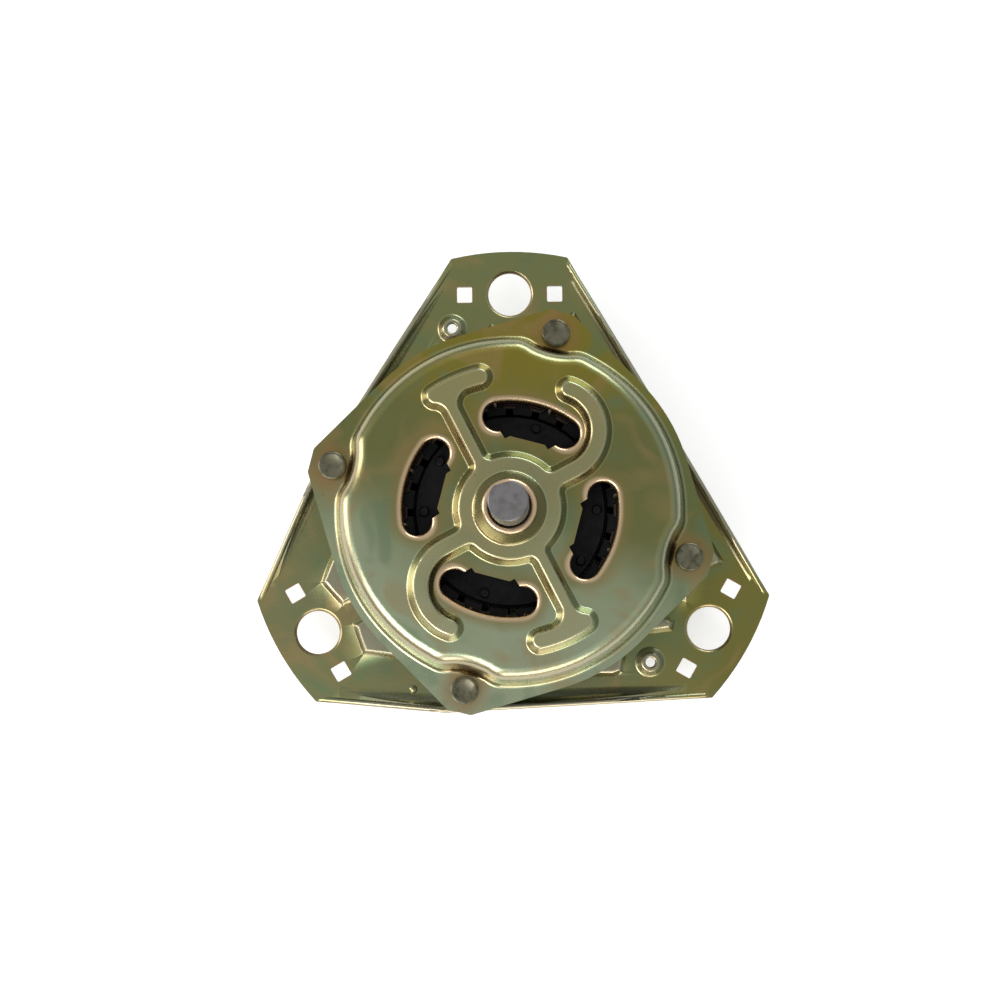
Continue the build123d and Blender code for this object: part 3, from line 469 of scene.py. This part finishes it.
def laminated_finish():
    """Stacked electrical steel: thin sheets side by side, dull and slightly rusted at their edges."""
    sheet = 0.5 * MM
    dark_sheet = (0.13, 0.13, 0.14)
    bright_sheet = (0.34, 0.33, 0.33)
    rusty = (0.16, 0.07, 0.03)
    shadow = (0.03, 0.03, 0.03)
    finish = Finish("stacked_sheets", (0.23, 0.23, 0.24), metallic=1.0, roughness=0.5)
    height = finish.split(finish.place)[2]
    lines = finish.calc("PINGPONG", finish.calc("DIVIDE", height, sheet), 0.5)
    gap = finish.spread(lines, low=0.16, high=0.04)
    each = finish.noise(scale=1.0, detail=2.0, rough=0.5, place=finish.scaled((25, 25, 1 / sheet)))
    tone = finish.ramp(each, low=(0.30, dark_sheet), high=(0.70, bright_sheet))
    rust = finish.spread(finish.noise(scale=70.0, detail=6.0, rough=0.7), low=0.52, high=0.72, strength=0.45)
    tone = finish.mix(rust, tone, rusty)
    tone = finish.mix(gap, tone, shadow)
    finish.bump(finish.calc("SUBTRACT", each, gap), depth=0.06 * MM, strength=0.8)
    return finish.set(base_color=tone, roughness=finish.times_plus(rust, factor=0.3, start=0.42))


def soft_finish(name, colour, dark, roughness, scale, depth):
    """Moulded, pressed or felted stuff: a tone that varies in patches broader than its grain."""
    patch_share = 6
    finish = Finish(name, colour, metallic=0.0, roughness=roughness)
    patches = finish.noise(scale / patch_share, detail=4.0, rough=0.6)
    tone = finish.tint(colour, dark, patches, low=0.35, high=0.7, strength=1.0)
    finish.bump(finish.noise(scale, detail=4.0, rough=0.7), depth, strength=0.6)
    return finish.set(base_color=tone)


def wire_finish():
    """Enamelled copper wire under dark varnish."""
    burnt = (0.018, 0.010, 0.008)
    brown = (0.075, 0.028, 0.014)
    finish = Finish("varnished_wire", (0.05, 0.02, 0.012), metallic=0.6, roughness=0.3)
    patches = finish.noise(scale=120.0, detail=4.0, rough=0.6, bend=0.4)
    tone = finish.ramp(patches, low=(0.32, burnt), high=(0.66, brown))
    finish.bump(finish.noise(scale=700.0, detail=2.0), depth=0.02 * MM, strength=0.4)
    return finish.set(coat_weight=0.3, coat_roughness=0.30, base_color=tone)


def add_camera():
    """The photographed view."""
    data = bpy.data.cameras.new("camera")
    data.sensor_width = camera_sensor
    data.lens = camera_lens
    data.clip_start = camera_near
    data.clip_end = camera_far
    camera = bpy.data.objects.new("camera", data)
    bpy.context.scene.collection.objects.link(camera)
    back = -camera_aim.normalized()
    right = Vector((0, 1, 0)).cross(back).normalized()
    up = back.cross(right)
    turn = Matrix.Rotation(camera_roll, 3, back)
    axes = Matrix((turn @ right, turn @ up, back)).transposed()
    camera.matrix_world = Matrix.Translation(camera_place) @ axes.to_4x4()
    bpy.context.scene.camera = camera


def add_lamp(name, place, size, power, colour):
    """A soft lamp that looks at the part."""
    data = bpy.data.lights.new(name, "AREA")
    data.shape = "RECTANGLE"
    data.size, data.size_y = size
    data.energy = power
    data.color = colour
    lamp = bpy.data.objects.new(name, data)
    bpy.context.scene.collection.objects.link(lamp)
    lamp.location = place
    lamp.rotation_mode = "QUATERNION"
    lamp.rotation_quaternion = (Vector(place) - lamp_aim).to_track_quat("Z", "Y")


def grey(level):
    """A plain grey that hides what is behind it."""
    return (level, level, level, 1)


def add_light():
    """A soft tent, dimmer straight overhead, and lamps round the part: the strongest is at the lower left."""
    world = bpy.data.worlds.new("studio")
    bpy.context.scene.world = world
    world.use_nodes = True
    tree = world.node_tree
    direction = tree.nodes.new("ShaderNodeTexCoord")
    split = tree.nodes.new("ShaderNodeSeparateXYZ")
    tree.links.new(direction.outputs["Generated"], split.inputs[0])
    ramp = tree.nodes.new("ShaderNodeValToRGB")
    tree.links.new(split.outputs["Z"], ramp.inputs["Fac"])
    stops = ramp.color_ramp.elements
    stops[0].color = grey(tent_level)
    stops[1].color = grey(tent_overhead)
    for height, level in tent_between:
        stops.new(height).color = grey(level)
    tree.links.new(ramp.outputs["Color"], tree.nodes["Background"].inputs["Color"])
    for lamp in lamps:
        add_lamp(*lamp)


def add_floor():
    """Plain pale floor that the part stands on, with the part's shadow. It glows to the eye, but not
    right under the body."""
    bpy.ops.mesh.primitive_plane_add(size=floor_size, location=(0, 0, cad_low.z))
    floor = bpy.context.object
    floor.name = "floor"
    settle(floor)
    paper = Finish("floor_paper", (floor_grey, floor_grey, floor_grey), 0.0, floor_roughness)
    path = paper.node("ShaderNodeLightPath")
    seen = paper.calc("MAXIMUM", path.outputs["Is Camera Ray"], path.outputs["Is Transmission Ray"])
    away = paper.node("ShaderNodeVectorMath", operation="LENGTH")
    paper.put(away.inputs[0], paper.place)
    glow = paper.spread(away.outputs["Value"], glow_from, glow_full, floor_glow, kind="LINEAR")
    paper.set(emission_color=grey(1), emission_strength=paper.calc("MULTIPLY", seen, glow))
    floor.data.materials.append(paper.material)


def wire_rings(inner, outer, low, high, wire):
    """Rings of wire round the outside of an end-turn bundle, with rounded corners. In turn they are sunk to
    a few depths, so that the bundle looks uneven."""
    rings = []
    corner = ring_corner
    across, tall = outer - inner, high - low
    runs = [
        (Vector((inner + corner, high)), Vector((1, 0)), across - 2 * corner),
        (Vector((outer, high - corner)), Vector((0, -1)), tall - 2 * corner),
        (Vector((outer - corner, low)), Vector((-1, 0)), across - 2 * corner),
        (Vector((inner, low + corner)), Vector((0, 1)), tall - 2 * corner),
    ]
    spots = []
    for start, along, length in runs:
        count = max(1, round(length / wire))
        spots += [start + along * length * i / count for i in range(count)]
        end = start + along * length
        centre = end + Vector((along.y, -along.x)) * corner
        turns = round(corner * math.pi / 2 / wire)
        for i in range(turns):
            swing = math.pi / 2 * i / turns
            arm = end - centre
            turned_x = arm.x * math.cos(swing) + arm.y * math.sin(swing)
            turned_y = -arm.x * math.sin(swing) + arm.y * math.cos(swing)
            spots.append(centre + Vector((turned_x, turned_y)))
    for i, spot in enumerate(spots):
        inward = Vector(((inner + outer) / 2, (low + high) / 2)) - spot
        spot = spot + inward.normalized() * (wire / 2 + wire_sink * (i % wire_sinks))
        bpy.ops.mesh.primitive_torus_add(
            location=(0, 0, spot.y),
            major_radius=spot.x,
            minor_radius=wire / 2 * wire_swell,
            major_segments=wire_segments,
            minor_segments=wire_sides,
        )
        rings.append(settle(bpy.context.object))
    return rings


def wound(node, name, inner, outer, height, wire):
    """A winding's end turns as bundles of separate wires, over the node's own body."""
    low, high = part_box(node)
    rings = []
    for bottom in (low.z, high.z - height):
        rings += wire_rings(inner, outer, bottom, bottom + height, wire)
    bundle = join(rings, name)
    wave = bpy.data.textures.new(name + "_wave", "CLOUDS")
    wave.noise_scale = slack_wave
    slack = bundle.modifiers.new("slack", "DISPLACE")
    slack.texture = wave
    slack.texture_coords = "LOCAL"
    slack.direction = "Z"
    slack.strength = slack_height
    pick(bundle)
    bpy.ops.object.modifier_apply(modifier=slack.name)
    bpy.ops.object.shade_smooth()
    return join([bundle, merged_copy(node, name + "_core")], name)


add_camera()
add_light()
add_floor()

pale = (0.44, 0.51, 0.33)
gold = (0.33, 0.27, 0.03)
leaf = (0.29, 0.32, 0.13)
sea = (0.20, 0.27, 0.11)
straw = (0.28, 0.29, 0.14)
vents = Vents(screw_count, screw_first, vent_circle, vent_half_angle, vent_half, vent_rim)
cover_zinc = zinc_finish(
    "cover_zinc",
    tones=[
        # Painted light: the pale tone toward the picture's lower left is where the strongest lamp falls
        Tone(across=-0.30, up=-0.95, begins=-0.10, ends=0.40, strength=1.0, colour=pale),
        Tone(across=0.10, up=0.99, begins=0.20, ends=0.60, strength=0.85, colour=gold),
        Tone(across=0.90, up=0.20, begins=0.35, ends=0.85, strength=0.40, colour=sea),
    ],
    spots=[Spots(screw_count, screw_first, screw_circle, 0, screw_head, screw_halo)],
    vents=vents,
    raised_from=dome_face,
    rubbed=(0.50, 0.47, 0.25),
)
plate_zinc = zinc_finish(
    "plate_zinc",
    tones=[
        Tone(across=0.0, up=1.0, begins=0.00, ends=0.80, strength=0.7, colour=leaf),
        Tone(across=-0.40, up=-0.92, begins=0.10, ends=0.60, strength=0.85, colour=straw),
        Tone(across=0.99, up=-0.10, begins=0.40, ends=1.00, strength=0.40, colour=gold),
    ],
    spots=[
        Spots(mount_count, mount_first, mount_circle, 0, mount_hole, mount_halo),
        Spots(mount_count, mount_first, mount_circle, square_offset, square_half, mount_halo),
    ],
    vents=vents,
    raised_from=plate_face,
    rubbed=(0.50, 0.46, 0.37),
)
stacked = laminated_finish()
copper = wire_finish()
screw_plating = steel_finish(
    "screw_plating", colour=(0.20, 0.19, 0.13), dark=(0.06, 0.06, 0.035), roughness=0.34, mottled=0.9
)
ground_steel = steel_finish(
    "ground_steel",
    colour=(0.28, 0.275, 0.275),
    dark=(0.12, 0.11, 0.11),
    roughness=0.38,
    ring_pitch=0.12 * MM,
    mottled=0.65,
)
sprung_steel = steel_finish(
    "sprung_steel", colour=(0.40, 0.40, 0.41), dark=(0.20, 0.20, 0.20), roughness=0.34
)
bronze = steel_finish("oily_bronze", colour=(0.42, 0.26, 0.11), dark=(0.16, 0.09, 0.04), roughness=0.45)
cast_metal = steel_finish(
    "blackened_casting", colour=(0.024, 0.023, 0.024), dark=(0.012, 0.012, 0.013), roughness=0.42, mottled=0.5
)

# Soft and moulded finishes: colour, darker colour, roughness, grain per metre and depth of the grain
film = soft_finish("varnished_film", (0.10, 0.07, 0.035), (0.05, 0.035, 0.02), 0.35, 500.0, 0.01 * MM)
board = soft_finish("varnished_board", (0.06, 0.04, 0.022), (0.035, 0.022, 0.014), 0.5, 900.0, 0.02 * MM)
cord = soft_finish("varnished_cord", (0.16, 0.12, 0.07), (0.08, 0.055, 0.03), 0.6, 1600.0, 0.05 * MM)
sleeve = soft_finish("woven_sleeve", (0.50, 0.45, 0.32), (0.40, 0.34, 0.22), 0.7, 1400.0, 0.04 * MM)
case = soft_finish("moulded_case", (0.03, 0.03, 0.032), (0.05, 0.05, 0.05), 0.45, 800.0, 0.01 * MM)
rubber = soft_finish("black_rubber", (0.018, 0.018, 0.018), (0.035, 0.034, 0.032), 0.6, 700.0, 0.02 * MM)
felt = soft_finish("oiled_felt", (0.22, 0.17, 0.09), (0.13, 0.09, 0.05), 0.9, 900.0, 0.15 * MM)
nylon = soft_finish("moulded_nylon", (0.72, 0.70, 0.62), (0.62, 0.60, 0.52), 0.4, 500.0, 0.01 * MM)
fibre = soft_finish("pressed_fibre", (0.13, 0.05, 0.025), (0.09, 0.035, 0.02), 0.5, 900.0, 0.01 * MM)

cover = merged_copy("front_cover", "front_cover_pressing")
dress(cover, cover_zinc, "housing", "zinc_dichromate", "front_cover")
plate = merged_copy("mounting_plate", "mounting_plate_pressing")
dress(plate, plate_zinc, "housing", "zinc_dichromate", "mounting_plate")
run_coils = wound(
    "run_winding", "run_winding_coils", run_ring_inner, run_ring_outer, run_ring_height, run_wire
)
dress(run_coils, copper, "housing", "enamelled_wire", "run_winding")
start_coils = wound(
    "start_winding", "start_winding_coils", start_ring_inner, start_ring_outer, start_ring_height, start_wire
)
dress(start_coils, copper, "housing", "enamelled_wire", "start_winding")

for node, finish in {
    "stator_core": stacked,
    "rotor_core": stacked,
    "slot_liners": film,
    "slot_wedges": board,
    "winding_lacing": cord,
    "splice_sleeves": sleeve,
    "thermal_protector": case,
    "lead_grommet": rubber,
    "through_screws": screw_plating,
    "lock_washers": screw_plating,
    "screw_nuts": screw_plating,
    "upper_bush": bronze,
    "lower_bush": bronze,
    "upper_oil_felt": felt,
    "lower_oil_felt": felt,
    "upper_bush_retainer": sprung_steel,
    "lower_bush_retainer": sprung_steel,
    "lower_bearing_cup": sprung_steel,
    "thrust_pad": nylon,
    "rotor_shaft": ground_steel,
    "rotor_cage": cast_metal,
    "upper_spacer": sprung_steel,
    "lower_spacer": sprung_steel,
    "upper_thrust_washers": fibre,
    "lower_thrust_washers": fibre,
    "oil_slinger": sprung_steel,
    "shaft_snap_ring": sprung_steel,
}.items():
    coat(node, finish)

bpy.context.scene.view_settings.view_transform = "Standard"
